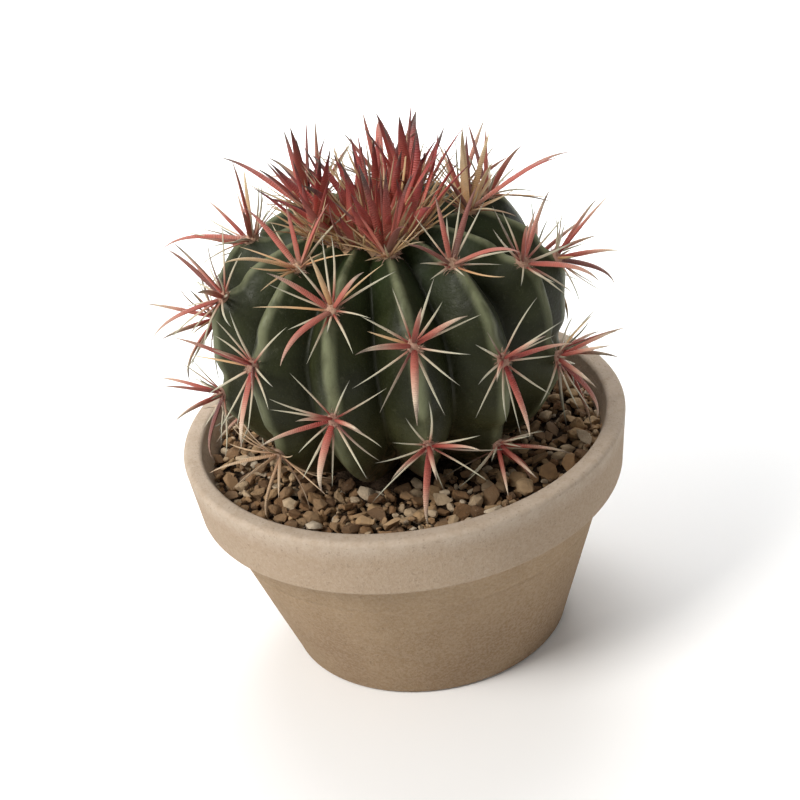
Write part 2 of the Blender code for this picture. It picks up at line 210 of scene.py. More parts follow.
lip_outer, lip_inner, band_edge, neck_fillet = 0.0019, 0.0017, 0.0011, 0.0010
foot_round, drain_round = 0.0018, 0.0008
outline = arc_points((DRAIN_RADIUS + drain_round, drain_round), drain_round, 180, 270, 4)
outline += line_points(outline[-1], (FOOT - foot_round, 0), 8)
outline += arc_points((FOOT - foot_round, foot_round), foot_round, -90, -22, 6)
outline += line_points(outline[-1], (NECK - 0.0002, NECK_LEVEL - neck_fillet), 24)
outline += arc_points((NECK + neck_fillet - 0.0002, NECK_LEVEL - neck_fillet), neck_fillet, 180, 100, 4)
outline += arc_points((BAND_FOOT - band_edge, NECK_LEVEL + band_edge), band_edge, -88, 4, 6)
outline += line_points(outline[-1], (RIM, POT_HEIGHT - lip_outer), 12)
outline += arc_points((RIM - lip_outer, POT_HEIGHT - lip_outer), lip_outer, 0, 88, 7)
outline += arc_points((RIM - LIP_WIDTH + lip_inner, POT_HEIGHT - lip_inner), lip_inner, 92, 180, 6)
outline += line_points(outline[-1], (inside_radius(NECK_LEVEL), NECK_LEVEL), 8)
outline += [(inside_radius(NECK_LEVEL), NECK_LEVEL), (inside_radius(FLOOR_THICKNESS), FLOOR_THICKNESS)]
outline += [(DRAIN_RADIUS, FLOOR_THICKNESS)]
bm = spun(outline, POT_STEPS, closed=True)
for vert in bm.verts:
    level = Vector((vert.co.x, vert.co.y, 0))
    if POT_HEIGHT - lip_outer > vert.co.z > foot_round and level.length > NECK - 0.02:
        vert.co -= level.normalized() * (WALL_WANDER * (0.5 + 0.5 * noise.noise(vert.co * 38)))

# two effects that several finishes share


def new_group(name, floats, outputs):
    """A node group with these float inputs, by default value, and these outputs, by socket type."""
    group = bpy.data.node_groups.new(name, "ShaderNodeTree")
    for socket, value in floats.items():
        made = group.interface.new_socket(name=socket, in_out="INPUT", socket_type="NodeSocketFloat")
        made.default_value = value
    for socket, kind in outputs.items():
        group.interface.new_socket(name=socket, in_out="OUTPUT", socket_type=kind)
    return group, group.nodes.new("NodeGroupInput"), group.nodes.new("NodeGroupOutput")


def math_node(tree, operation, first, second=0.5, clamp=False):
    """The value of a Math node."""
    settings = {"operation": operation, "use_clamp": clamp}
    return add_node(tree, "ShaderNodeMath", settings, {0: first, 1: second}).outputs[0]


def remap(tree, value, low, high, to_low=0.0, to_high=1.0):
    """The value moved smoothly from one range to another, and held at its ends."""
    inputs = {"Value": value, "From Min": low, "From Max": high, "To Min": to_low, "To Max": to_high}
    node = add_node(tree, "ShaderNodeMapRange", {"interpolation_type": "SMOOTHSTEP"}, inputs)
    return node.outputs["Result"]


def mix_colour(tree, share, first, second):
    """The colour between two colours."""
    node = tree.nodes.new("ShaderNodeMix")
    node.data_type = "RGBA"
    for socket, value in (("Factor_Float", share), ("A_Color", first), ("B_Color", second)):
        target = next(s for s in node.inputs if s.identifier == socket)
        if isinstance(value, bpy.types.NodeSocket):
            tree.links.new(value, target)
        else:
            target.default_value = value
    return next(s for s in node.outputs if s.identifier == "Result_Color")


def laid_over(tree, under, mask, most, colour):
    """A colour laid over the one under it where the mask is high, up to a share of it."""
    return mix_colour(tree, math_node(tree, "MULTIPLY", mask, most), under, (*colour, 1))


def noise_value(tree, scale, detail=3.0, roughness=0.55, distortion=0.0, vector=None):
    """Noise over the object's own coordinates, with its size in cycles per metre."""
    if vector is None:
        vector = add_node(tree, "ShaderNodeTexCoord").outputs["Object"]
    inputs = {"Vector": vector, "Scale": scale, "Detail": detail, "Roughness": roughness}
    inputs["Distortion"] = distortion
    return add_node(tree, "ShaderNodeTexNoise", None, inputs).outputs["Fac"]


mineral, inside, outside = new_group(
    "mineral_grain",
    {"Patch Scale": 30.0, "Grain Scale": 1600.0},
    {"Patches": "NodeSocketFloat", "Specks": "NodeSocketFloat", "Height": "NodeSocketFloat"},
)
patches = noise_value(mineral, inside.outputs["Patch Scale"], 4.0, 0.62)
grain = noise_value(mineral, inside.outputs["Grain Scale"], 2.0, 0.6)
coordinates = add_node(mineral, "ShaderNodeTexCoord").outputs["Object"]
speck_scale = math_node(mineral, "MULTIPLY", inside.outputs["Grain Scale"], 0.42)
specks = add_node(
    mineral, "ShaderNodeTexVoronoi", {"feature": "F1"}, {"Vector": coordinates, "Scale": speck_scale}
)
speck_colour = add_node(mineral, "ShaderNodeSeparateColor", None, {"Color": specks.outputs["Color"]})
rare = remap(mineral, speck_colour.outputs["Red"], 0.86, 0.90)
spot = remap(mineral, specks.outputs["Distance"], 0.50, 0.22)
mineral.links.new(remap(mineral, patches, 0.36, 0.66), outside.inputs["Patches"])
mineral.links.new(math_node(mineral, "MULTIPLY", rare, spot), outside.inputs["Specks"])
mineral.links.new(grain, outside.inputs["Height"])

dust, inside, outside = new_group(
    "settled_dust",
    {"Level": 0.074, "Fade": 0.012, "Patch Scale": 90.0},
    {"Mask": "NodeSocketFloat"},
)
geometry = add_node(dust, "ShaderNodeNewGeometry")
facing = add_node(dust, "ShaderNodeSeparateXYZ", None, {"Vector": geometry.outputs["Normal"]})
place = add_node(
    dust, "ShaderNodeSeparateXYZ", None,
    {"Vector": add_node(dust, "ShaderNodeTexCoord").outputs["Object"]},
)
above = math_node(dust, "SUBTRACT", place.outputs["Z"], inside.outputs["Level"])
near = math_node(dust, "DIVIDE", above, inside.outputs["Fade"])
near = math_node(dust, "SUBTRACT", 1.0, near, clamp=True)
patchy = remap(dust, noise_value(dust, inside.outputs["Patch Scale"], 4.0, 0.65), 0.35, 0.7, 0.25, 1.0)
upward = remap(dust, facing.outputs["Z"], -0.9, 0.8, 0.35, 1.0)
mask = math_node(dust, "MULTIPLY", math_node(dust, "MULTIPLY", near, patchy), upward)
dust.links.new(mask, outside.inputs["Mask"])


def use_group(tree, group, inputs):
    """The group placed in a material, with its own values."""
    node = tree.nodes.new("ShaderNodeGroup")
    node.node_tree = group
    for name, value in inputs.items():
        node.inputs[name].default_value = value
    return node.outputs


def bumped(tree, shader, height, distance, strength=1.0):
    """Raises the shader's surface by a height, to a distance in metres."""
    inputs = {"Height": height, "Distance": distance, "Strength": strength}
    bump = add_node(tree, "ShaderNodeBump", None, inputs)
    tree.links.new(bump.outputs["Normal"], shader.inputs["Normal"])


clay, tree, shader = new_material("fired_clay", roughness=0.9, specular=0.12)
grains = use_group(tree, mineral, {"Patch Scale": 26.0, "Grain Scale": 2900.0})
coordinates = add_node(tree, "ShaderNodeTexCoord").outputs["Object"]
place = add_node(tree, "ShaderNodeSeparateXYZ", None, {"Vector": coordinates})
height = place.outputs["Z"]
body = mix_colour(tree, grains["Patches"], (0.290, 0.202, 0.118, 1), (0.345, 0.246, 0.150, 1))
# The body darkens towards the foot in ragged patches: partly damp clay, partly painted shade.
low_damp_and_shade = remap(tree, height, NECK_LEVEL, 0.012)
ragged = noise_value(tree, 18.0, 5.0, 0.6)
damp_and_shade = math_node(tree, "MULTIPLY", low_damp_and_shade, remap(tree, ragged, 0.35, 0.65, 0.25, 0.85))
body = mix_colour(tree, damp_and_shade, body, (0.225, 0.148, 0.086, 1))
# Painted light: everything above the neck's height is painted lighter than the body under the band,
# which takes less light.
band_painted_light = remap(tree, height, NECK_LEVEL - 0.0005, NECK_LEVEL + 0.0010)
body = laid_over(tree, body, band_painted_light, 0.60, (0.420, 0.330, 0.250))
rim_bloom = remap(tree, height, POT_HEIGHT - 0.009, POT_HEIGHT - 0.001)
crusty = remap(tree, noise_value(tree, 190.0, 6.0, 0.7), 0.35, 0.62, 0.30, 0.62)
rim_bloom = math_node(tree, "MULTIPLY", rim_bloom, crusty)
body = mix_colour(tree, rim_bloom, body, (0.540, 0.460, 0.380, 1))
lime = remap(tree, noise_value(tree, 14.0, 6.0, 0.68, 0.6), 0.60, 0.78, 0.0, 0.30)
body = mix_colour(tree, lime, body, (0.560, 0.490, 0.415, 1))
body = laid_over(tree, body, grains["Specks"], 0.30, (0.150, 0.100, 0.070))
sanded = remap(tree, noise_value(tree, 900.0, 3.0, 0.75), 0.36, 0.64)
body = laid_over(tree, body, sanded, 0.14, (0.700, 0.600, 0.500))
pitted = remap(tree, noise_value(tree, 520.0, 4.0, 0.7), 0.60, 0.72)
body = laid_over(tree, body, pitted, 0.20, (0.170, 0.115, 0.080))
tree.links.new(body, shader.inputs["Base Color"])
flat_scale = add_node(
    tree, "ShaderNodeMapping", None, {"Vector": coordinates, "Scale": (3.0, 3.0, 420.0)}
)
turning = noise_value(tree, 1.0, 4.0, 0.7, 0.15, flat_scale.outputs["Vector"])
off_line = math_node(tree, "ABSOLUTE", math_node(tree, "SUBTRACT", height, TURNING_LINE))
groove_line = remap(tree, off_line, 0.0014, 0.0002)
rough = math_node(tree, "MULTIPLY", math_node(tree, "ADD", grains["Height"], sanded), 0.38)
rough = math_node(tree, "SUBTRACT", rough, math_node(tree, "MULTIPLY", pitted, 0.6))
rough = math_node(tree, "SUBTRACT", rough, math_node(tree, "MULTIPLY", groove_line, 1.1))
tree.links.new(remap(tree, ragged, 0.3, 0.7, 0.78, 0.92), shader.inputs["Roughness"])
bumped(tree, shader, math_node(tree, "ADD", rough, math_node(tree, "MULTIPLY", turning, 0.9)), 0.00019)

pot = object_from(bm, "clay_pot", clay, 35)
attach(pot, "root")
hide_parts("pot")


# ------------------------------------------------------------------ potting mix
# Dark, fibrous cactus mix fills the pot under the gravel and holds the taproot. It shows only
# through the drain hole, so the plain settled solid keeps its shape and gets a crumbly finish.

mix, tree, shader = new_material("potting_mix", roughness=0.95, specular=0.15)
grains = use_group(tree, mineral, {"Patch Scale": 140.0, "Grain Scale": 900.0})
body = mix_colour(tree, grains["Patches"], (0.022, 0.014, 0.009, 1), (0.075, 0.050, 0.032, 1))
body = mix_colour(tree, grains["Specks"], body, (0.42, 0.38, 0.33, 1))
tree.links.new(body, shader.inputs["Base Color"])
bumped(tree, shader, grains["Height"], 0.0012)
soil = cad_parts["potting_mix"]
for index in range(len(soil.material_slots)):
    soil.material_slots[index].material = mix


# ------------------------------------------------------------------ stem
# One grown globe on a taproot, with thirteen blunt ribs. Each rib swells under every areole and is
# nicked above it. The skin is waxy, dark green on the flanks, grey-green along the crests, partly
# paler skin and partly a painted highlight, and darkened to near black deep in the grooves as
# painted shade. It is olive with thin cork where the oldest part meets the gravel, and root-brown
# below that.

RIBS = 13
STEM_RADIUS = 0.0585
STEM_TOP = 0.0395
STEM_UNDER = 0.0460
CROWN_DIP = 0.0050
CROWN_DIP_RADIUS = 0.0160
RIB_DEPTH = 0.0115
RIB_SHARPNESS = 1.28
RIB_PHASE = math.radians(-21.0)
GROOVE_FADE = STEM_RADIUS * 0.62  # the grooves run out over this radius, towards crown and root
SKIN_UNEVEN = 0.00035
CHIN = (0.0017, 0.0045, 0.0062, 0.0085)  # height, place below the areole, reach along, reach across
NICK = (0.0016, -0.0065, 0.0038, 0.0060)  # the same, with its depth for a height
ROOT_RADIUS = 0.0080
ROOT_LENGTH = 0.0240
GRAVEL_LEVEL = POT_HEIGHT - 0.0060
WIDEST_LEVEL = GRAVEL_LEVEL + 0.0410
COLUMNS_PER_RIB = 26
STEM_ROWS = 128

AREOLES = 39
CROWN_AREOLES = 4
FIRST_ARC = 0.0080
LAST_TO_GRAVEL = 0.0237
HALF = 200


def crest_outline():
    """A rib's crest from the crown's middle to the underside: arrays of arc length, r and z."""
    up = np.linspace(math.pi / 2, 0, HALF)
    down = np.linspace(0, -math.pi / 2, HALF)[1:]
    r_up = STEM_RADIUS * np.cos(up).clip(0) ** (2 / 2.8)
    z_up = STEM_TOP * np.sin(up) ** (2 / 2.8) - CROWN_DIP * np.exp(-((r_up / CROWN_DIP_RADIUS) ** 2))
    r_down = STEM_RADIUS * np.cos(down).clip(0) ** (2 / 2.2)
    z_down = -STEM_UNDER * np.abs(np.sin(down)) ** (2 / 2.2)
    r, z = np.concatenate([r_up, r_down]), np.concatenate([z_up, z_down]) + WIDEST_LEVEL
    return np.concatenate([[0], np.cumsum(np.hypot(np.diff(r), np.diff(z)))]), r, z


crest_arcs, crest_r, crest_z = crest_outline()


def crest_at(arc):
    """(r, z) on the crest at an arc length, and its outward normal (r, z)."""
    ahead, behind = arc + 0.0008, max(arc - 0.0008, 0)
    dr = np.interp(ahead, crest_arcs, crest_r) - np.interp(behind, crest_arcs, crest_r)
    dz = np.interp(ahead, crest_arcs, crest_z) - np.interp(behind, crest_arcs, crest_z)
    normal = Vector((-dz, dr)).normalized() if arc > 0 else Vector((0, 1))
    return float(np.interp(arc, crest_arcs, crest_r)), float(np.interp(arc, crest_arcs, crest_z)), normal


def outward(turn):
    """The level direction at a turn from the front (-Y) towards +X."""
    return Vector((math.sin(turn), -math.cos(turn), 0))


class Areole:
    """A place on a rib's crest, on the one spiral that all the areoles follow."""

    def __init__(self, number):
        self.number = number
        self.age = number / (AREOLES - 1)
        gravel_arc = float(np.interp(-GRAVEL_LEVEL, -crest_z[HALF:], crest_arcs[HALF:]))
        self.arc = FIRST_ARC + (gravel_arc - LAST_TO_GRAVEL - FIRST_ARC) * self.age**0.97
        self.rib = (8 * number + 5) % RIBS
        self.turn = RIB_PHASE + 2 * math.pi * self.rib / RIBS
        r, z, normal = crest_at(self.arc)
        self.level = outward(self.turn)
        self.place = self.level * r + UP * z
        self.normal = self.level * normal.x + UP * normal.y
        self.side = UP.cross(self.level).normalized()
        self.crownward = self.normal.cross(self.side)
        if self.crownward.dot(UP - self.level) < 0:
            self.crownward.negate()

    def heading(self, turn, lift):
        """The direction at a turn in the skin's plane, from the crown's side, lifted off the skin."""
        turn, lift = math.radians(turn), math.radians(lift)
        flat = self.crownward * math.cos(turn) + self.side * math.sin(turn)
        return flat * math.cos(lift) + self.normal * math.sin(lift)


areoles = [Areole(number) for number in range(AREOLES)]
on_rib = {rib: [a for a in areoles if a.rib == rib] for rib in range(RIBS)}


def swell(rib, arc, sideways):
    """How far the skin stands out from the plain rib: a chin under each areole, a nick above it."""
    height = 0.0
    for areole in on_rib[rib]:
        grown = min(1.0, 0.25 + areole.age * 2.2)
        along = arc - areole.arc
        chin, nick = (
            most * math.exp(-(((along - below) / reach) ** 2) - (sideways / width) ** 2)
            for most, below, reach, width in (CHIN, NICK)
        )
        height += grown * (chin - nick)
    return height


root_arc = float(np.interp(-ROOT_RADIUS, -crest_r[HALF:], crest_arcs[HALF:]))
arcs = [root_arc * i / STEM_ROWS for i in range(STEM_ROWS + 1)]
outline = [crest_at(arc)[:2] for arc in arcs]
outline[0] = (0, outline[0][1])
root_top = outline[-1][1]
root_tip = root_top - ROOT_LENGTH
tip_radius = ROOT_RADIUS * 0.55
outline += line_points((ROOT_RADIUS, root_top), (tip_radius, root_tip + tip_radius), 7)
outline += arc_points((0, root_tip + tip_radius), tip_radius, 0, -80, 5)
outline += [(0, root_tip)]
arcs += [root_arc + 0.02] * (len(outline) - len(arcs))
bm = spun(outline, RIBS * COLUMNS_PER_RIB, closed=False, arcs=arcs)
bmesh.ops.rotate(bm, verts=bm.verts, matrix=Matrix.Rotation(RIB_PHASE - math.pi / 2, 3, "Z"))
arc_layer = bm.verts.layers.float["arc"]
groove_layer = bm.verts.layers.float.new("groove")
for vert in bm.verts:
    radius = math.hypot(vert.co.x, vert.co.y)
    arc = vert[arc_layer]
    if radius < 1e-5 or arc > root_arc:
        vert[groove_layer] = 0.5
        continue
    normal = crest_at(arc)[2]
    turn = math.atan2(vert.co.x, -vert.co.y)
    ribs_round = (turn - RIB_PHASE) * RIBS / (2 * math.pi)
    rib = round(ribs_round) % RIBS
    share = ribs_round - round(ribs_round)
    deep = abs(2 * share) ** RIB_SHARPNESS
    fade = min(1, max(0, (radius - ROOT_RADIUS) / GROOVE_FADE))
    sideways = share * 2 * math.pi * radius / RIBS
    push = swell(rib, arc, sideways) - RIB_DEPTH * fade * deep
    push += SKIN_UNEVEN * fade * noise.noise(vert.co * 60)
    vert[groove_layer] = deep
    vert.co += (outward(turn) * normal.x + UP * normal.y) * push
bmesh.ops.recalc_face_normals(bm, faces=bm.faces)


def attribute(tree, name):
    """A float that the mesh holds at each point."""
    return add_node(tree, "ShaderNodeAttribute", {"attribute_name": name}).outputs["Fac"]


skin, tree, shader = new_material("green_skin", roughness=0.5, specular=0.23)
arc = attribute(tree, "arc")
groove = attribute(tree, "groove")
coordinates = add_node(tree, "ShaderNodeTexCoord").outputs["Object"]
patches = noise_value(tree, 42.0, 4.0, 0.6)
blotches = remap(tree, patches, 0.35, 0.68)
flank = mix_colour(tree, blotches, (0.0105, 0.0125, 0.0028, 1), (0.0230, 0.0275, 0.0070, 1))
scuffed = remap(tree, noise_value(tree, 330.0, 5.0, 0.72), 0.56, 0.72)
flank = laid_over(tree, flank, scuffed, 0.20, (0.120, 0.125, 0.075))
youth = remap(tree, arc, 0.060, 0.012)
flank = laid_over(tree, flank, youth, 0.5, (0.022, 0.046, 0.014))
# The crests are laid over with paler grey-green streaks: partly paler skin, partly a painted highlight.
stretch = {"Vector": coordinates, "Scale": (160.0, 160.0, 40.0)}
streaky = add_node(tree, "ShaderNodeMapping", None, stretch)
streaks = noise_value(tree, 1.0, 3.0, 0.6, 0.3, streaky.outputs["Vector"])
crest_pale_and_sheen = remap(tree, streaks, 0.28, 0.62, 0.35, 1.0)
crest_pale_and_sheen = math_node(tree, "MULTIPLY", remap(tree, groove, 0.17, 0.02), crest_pale_and_sheen)
flank = laid_over(tree, flank, crest_pale_and_sheen, 0.85, (0.185, 0.200, 0.112))
# Painted shade: the deepest part of each groove is darkened towards black.
deep = remap(tree, groove, 0.50, 1.0)
flank = laid_over(tree, flank, deep, 0.6, (0.006, 0.007, 0.002))
cells = {"Vector": coordinates, "Scale": 1350.0}
pores = add_node(tree, "ShaderNodeTexVoronoi", {"feature": "F1"}, cells)
pore = remap(tree, pores.outputs["Distance"], 0.34, 0.12)
flank = laid_over(tree, flank, pore, 0.07, (0.110, 0.130, 0.075))
ageing = remap(tree, arc, 0.066, 0.120)
olive = math_node(tree, "MULTIPLY", ageing, remap(tree, patches, 0.30, 0.65, 0.25, 0.85))
flank = mix_colour(tree, olive, flank, (0.055, 0.052, 0.020, 1))
corky = noise_value(tree, 95.0, 6.0, 0.7, 0.8)
cork = math_node(tree, "MULTIPLY", remap(tree, arc, 0.104, 0.134), remap(tree, corky, 0.44, 0.60))
flank = mix_colour(tree, cork, flank, (0.180, 0.125, 0.070, 1))
root = remap(tree, arc, 0.136, 0.142)
flank = mix_colour(tree, root, flank, (0.165, 0.105, 0.060, 1))
dusty = use_group(tree, dust, {"Level": GRAVEL_LEVEL, "Fade": 0.016, "Patch Scale": 110.0})["Mask"]
flank = laid_over(tree, flank, dusty, 0.50, (0.170, 0.125, 0.080))
tree.links.new(flank, shader.inputs["Base Color"])
waxy = remap(tree, noise_value(tree, 210.0, 3.0), 0.3, 0.7, 0.43, 0.58)
rough = math_node(tree, "MULTIPLY", math_node(tree, "ADD", cork, dusty), 0.9)
tree.links.new(math_node(tree, "MAXIMUM", waxy, rough), shader.inputs["Roughness"])
flatten = {"Vector": coordinates, "Scale": (70.0, 70.0, 560.0)}
creased = add_node(tree, "ShaderNodeMapping", None, flatten)
creases = noise_value(tree, 1.0, 3.0, 0.55, 0.2, creased.outputs["Vector"])
creases = math_node(tree, "MULTIPLY", creases, remap(tree, arc, 0.070, 0.125, 0.25, 1.6))
fine = math_node(tree, "ADD", noise_value(tree, 620.0, 3.0, 0.6), creases)
ripple = math_node(tree, "MULTIPLY", noise_value(tree, 130.0, 3.0, 0.5), 1.4)
dents = math_node(tree, "ADD", fine, ripple)
dents = math_node(tree, "SUBTRACT", dents, math_node(tree, "MULTIPLY", pore, 0.35))
bumped(tree, shader, math_node(tree, "ADD", dents, math_node(tree, "MULTIPLY", cork, 1.2)), 0.00018)

stem = object_from(bm, "stem_globe", skin)
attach(stem, "root")
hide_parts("stem")


# ------------------------------------------------------------------ gravel
# A top dressing of sharp crushed stone, 3 to 7 mm, in mixed browns and tans, laid loose on a bed of
# fines that is coloured near black, partly as painted shade in the gaps between the stones. Every stone
# is a separate chip that rests on those below it.

BED_LEVEL = GRAVEL_LEVEL - 0.0036
STONE_KINDS = 16
STONES = 1400
CANDIDATES = 9
CELL = 0.0006  # of the height map of the heap, in which each stone finds a low place
SMALLEST_STONE = 0.0026
STONE_SPREAD = 0.0050
BED_EDGE = 0.0004
BED_INSIDE = (0.0092, 0.0220)  # radii round the taproot and under the stem
rng = random.Random(11)


def skin_radius(turn, z):
    """The stem's surface at a turn and a height under its widest level."""
    arc = float(np.interp(-z, -crest_z[HALF:], crest_arcs[HALF:]))
    r, _, normal = crest_at(arc)
    ribs_round = (turn - RIB_PHASE) * RIBS / (2 * math.pi)
    deep = abs(2 * (ribs_round - round(ribs_round))) ** RIB_SHARPNESS
    fade = min(1, max(0, (r - ROOT_RADIUS) / GROOVE_FADE))
    return r - RIB_DEPTH * fade * deep * max(normal.x, 0.3)


def stone_mesh(number):
    """One crushed chip, about 1 m across, with worn edges: it is scaled where it is laid."""
    shape = random.Random(300 + number)
    bm = bmesh.new()
    bmesh.ops.create_icosphere(bm, subdivisions=1, radius=0.56)
    for vert in bm.verts:
        vert.co *= shape.uniform(0.80, 1.15)
    bmesh.ops.scale(bm, verts=bm.verts, vec=(1.08, shape.uniform(0.55, 0.92), shape.uniform(0.36, 0.66)))
    for _ in range(4):
        cut = Vector((shape.gauss(0, 1), shape.gauss(0, 1), shape.gauss(0, 0.8))).normalized()
        reach = max(vert.co.dot(cut) for vert in bm.verts) * shape.uniform(0.66, 0.84)
        geometry = bm.verts[:] + bm.edges[:] + bm.faces[:]
        bmesh.ops.bisect_plane(bm, geom=geometry, plane_co=cut * reach, plane_no=cut, clear_outer=True)
        bmesh.ops.holes_fill(bm, edges=[edge for edge in bm.edges if edge.is_boundary])
    bmesh.ops.dissolve_limit(bm, angle_limit=math.radians(27), verts=bm.verts, edges=bm.edges)
    bmesh.ops.bevel(
        bm, geom=bm.edges[:], offset=0.03, affect="EDGES", segments=1, profile=0.5, material=-1,
        clamp_overlap=True,
    )
    bmesh.ops.recalc_face_normals(bm, faces=bm.faces)
    mesh = bpy.data.meshes.new(f"stone_kind_{number}")
    bm.to_mesh(mesh)
    bm.free()
    mesh.attributes.new("tint", "FLOAT", "POINT")
    mesh.attributes.new("shade", "FLOAT", "POINT")
    return mesh


kinds = [stone_mesh(number) for number in range(STONE_KINDS)]
span = int(2 * RIM / CELL) + 1
heap = np.full((span, span), BED_LEVEL)
axis_cells = (np.arange(span) + 0.5) * CELL - RIM
bm = bmesh.new()
for _ in range(STONES):
    size = SMALLEST_STONE + STONE_SPREAD * rng.random() ** 3.6
    best = None
    for _ in range(CANDIDATES):
        turn = rng.uniform(-math.pi, math.pi)
        inner = skin_radius(turn, GRAVEL_LEVEL + 0.0015) + size * 0.25
        outer = inside_radius(GRAVEL_LEVEL) - size * 0.46
        radius = math.sqrt(rng.uniform(inner**2, outer**2))
        spot = outward(turn) * radius
        column, row = int((spot.x + RIM) / CELL), int((spot.y + RIM) / CELL)
        reach = max(1, int(size * 0.40 / CELL))
        under = heap[column - reach : column + reach + 1, row - reach : row + reach + 1]
        support = float(np.percentile(under, 80))
        if best is None or support < best[0]:
            best = (support, spot, column, row, reach)
    support, spot, column, row, reach = best
    mesh = kinds[rng.randrange(STONE_KINDS)].copy()
    flat = Matrix.Rotation(rng.gauss(0, 0.45), 4, "X") @ Matrix.Rotation(rng.gauss(0, 0.45), 4, "Y")
    facing = Matrix.Rotation(rng.uniform(0, 2 * math.pi), 4, "Z")
    centre = spot + UP * (support + size * 0.20)
    mesh.transform(Matrix.Translation(centre) @ facing @ flat @ Matrix.Scale(size, 4))
    for name, value in (("tint", rng.random()), ("shade", rng.random())):
        mesh.attributes[name].data.foreach_set("value", [value] * len(mesh.vertices))
    bm.from_mesh(mesh)
    bpy.data.meshes.remove(mesh)
    near_x = axis_cells[column - reach - 1 : column + reach + 2] - spot.x
    near_y = axis_cells[row - reach - 1 : row + reach + 2] - spot.y
    away = (near_x[:, None] ** 2 + near_y[None] ** 2) / (size * 0.48) ** 2
    dome = centre.z + size * 0.30 * np.sqrt(np.clip(1 - away, 0, 1))
    part = heap[column - reach - 1 : column + reach + 2, row - reach - 1 : row + reach + 2]
    np.maximum(part, np.where(away < 1, dome, 0), out=part)


def colour_ramp(tree, value, stops):
    """The colour at a value along a row of (position, colour) stops."""
    ramp = add_node(tree, "ShaderNodeValToRGB", None, {"Fac": value})
    while len(ramp.color_ramp.elements) < len(stops):
        ramp.color_ramp.elements.new(0.5)
    for element, (position, colour) in zip(ramp.color_ramp.elements, stops):
        element.position, element.color = position, (*colour, 1)
    return ramp.outputs["Color"]


stone, tree, shader = new_material("gravel_stone", roughness=0.86, specular=0.3)
grains = use_group(tree, mineral, {"Patch Scale": 260.0, "Grain Scale": 2600.0})
tint, shade = attribute(tree, "tint"), attribute(tree, "shade")
body = colour_ramp(tree, tint, [
    (0.0, (0.115, 0.058, 0.026)), (0.28, (0.240, 0.131, 0.060)), (0.52, (0.375, 0.225, 0.110)),
    (0.76, (0.500, 0.335, 0.180)), (0.90, (0.620, 0.480, 0.320)), (1.0, (0.660, 0.570, 0.440)),
])
body = laid_over(tree, body, grains["Patches"], 0.4, (0.130, 0.084, 0.048))
body = laid_over(tree, body, grains["Specks"], 0.15, (0.50, 0.41, 0.30))
body = mix_colour(tree, remap(tree, shade, 0.0, 1.0, 0.0, 0.30), body, (0.34, 0.245, 0.155, 1))
tree.links.new(body, shader.inputs["Base Color"])
uneven = math_node(tree, "MULTIPLY", grains["Patches"], 0.6)
bumped(tree, shader, math_node(tree, "ADD", grains["Height"], uneven), 0.00035)
stones = object_from(bm, "gravel_stones", stone, 28)
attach(stones, "root")
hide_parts("gravel")
for mesh in kinds:
    bpy.data.meshes.remove(mesh)

gravel_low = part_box("gravel")[0]
outline = [(BED_INSIDE[0], gravel_low.z), (inside_radius(gravel_low.z) - BED_EDGE, gravel_low.z)]
outline += [(inside_radius(BED_LEVEL) - BED_EDGE, BED_LEVEL)]
outline += line_points(outline[-1], (BED_INSIDE[1], BED_LEVEL), 26)
outline += [(BED_INSIDE[1], BED_LEVEL), (BED_INSIDE[0], BED_LEVEL - 0.004)]
bm = spun(outline, 120, closed=True)
level_edge = inside_radius(BED_LEVEL) - 0.001
for vert in bm.verts:
    if vert.co.z > BED_LEVEL - 1e-4 and math.hypot(vert.co.x, vert.co.y) < level_edge:
        vert.co.z += 0.0007 * noise.noise(vert.co * 330) - 0.0003
# The bed is coloured near black: partly fines, partly painted shade in the gaps between the stones.
fines_and_gap_shade, tree, shader = new_material("gravel_fines_and_gap_shade", roughness=0.95, specular=0.1)
grains = use_group(tree, mineral, {"Patch Scale": 300.0, "Grain Scale": 1300.0})
body = mix_colour(tree, grains["Patches"], (0.030, 0.019, 0.012, 1), (0.085, 0.056, 0.036, 1))
body = laid_over(tree, body, grains["Specks"], 0.8, (0.30, 0.23, 0.17))
tree.links.new(body, shader.inputs["Base Color"])
bumped(tree, shader, grains["Height"], 0.0010)
bed = object_from(bm, "gravel_bed", fines_and_gap_shade, 40)
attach(bed, "root")


# ------------------------------------------------------------------ areoles and their spines
# Every areole is an oval pad of felt on its rib. About ten thin, straight, pale radial spines spread
# over the skin from its edge, and four stout red central spines stand out from its middle. The
# lowest central is a flat blade with a hooked tip. Old spines bleach, and the oldest are straw.

PAD_LENGTH = 0.0062
PAD_WIDTH = 0.0048
PAD_HEIGHT = 0.0019
FIBRE_KINDS = 8
DRY = (28, 33, 35)  # the areoles whose old spines have bleached to straw
GOLDEN = (7, 8, 9)  # young ones with some straw-gold spines
THIN, STOUT, FELT = 0.0, 1.0, 2.0  # kinds
DRIED, STRAW = 2.0, 3.0  # ages beyond the living ones, which run from 0 to 1
RADIAL_LENGTHS = (0.0135, 0.0240)
RADIAL_WIDTHS = (0.00064, 0.00094)
CENTRALS = (  # turn, lift, length, width, thickness, hook
    (0, 60, 0.0225, 0.0017, 0.0013, 0.15),
    (68, 40, 0.0220, 0.0017, 0.0013, 0.35),
    (-68, 40, 0.0220, 0.0017, 0.0013, 0.35),
    (180, 34, 0.0260, 0.0024, 0.0013, 0.90),
)
YOUNG_CENTRALS = (  # more of them, beside the crown
    (30, 70, 0.0260, 0.0032, 0.0012, 0.15),
    (-40, 66, 0.0240, 0.0028, 0.0012, 0.15),
    (115, 56, 0.0215, 0.0017, 0.0011, 0.20),
    (-120, 58, 0.0205, 0.0017, 0.0011, 0.20),
)
SPREAD = STEM_RADIUS + 0.0240
TIP_LEVEL = GRAVEL_LEVEL + 0.0030


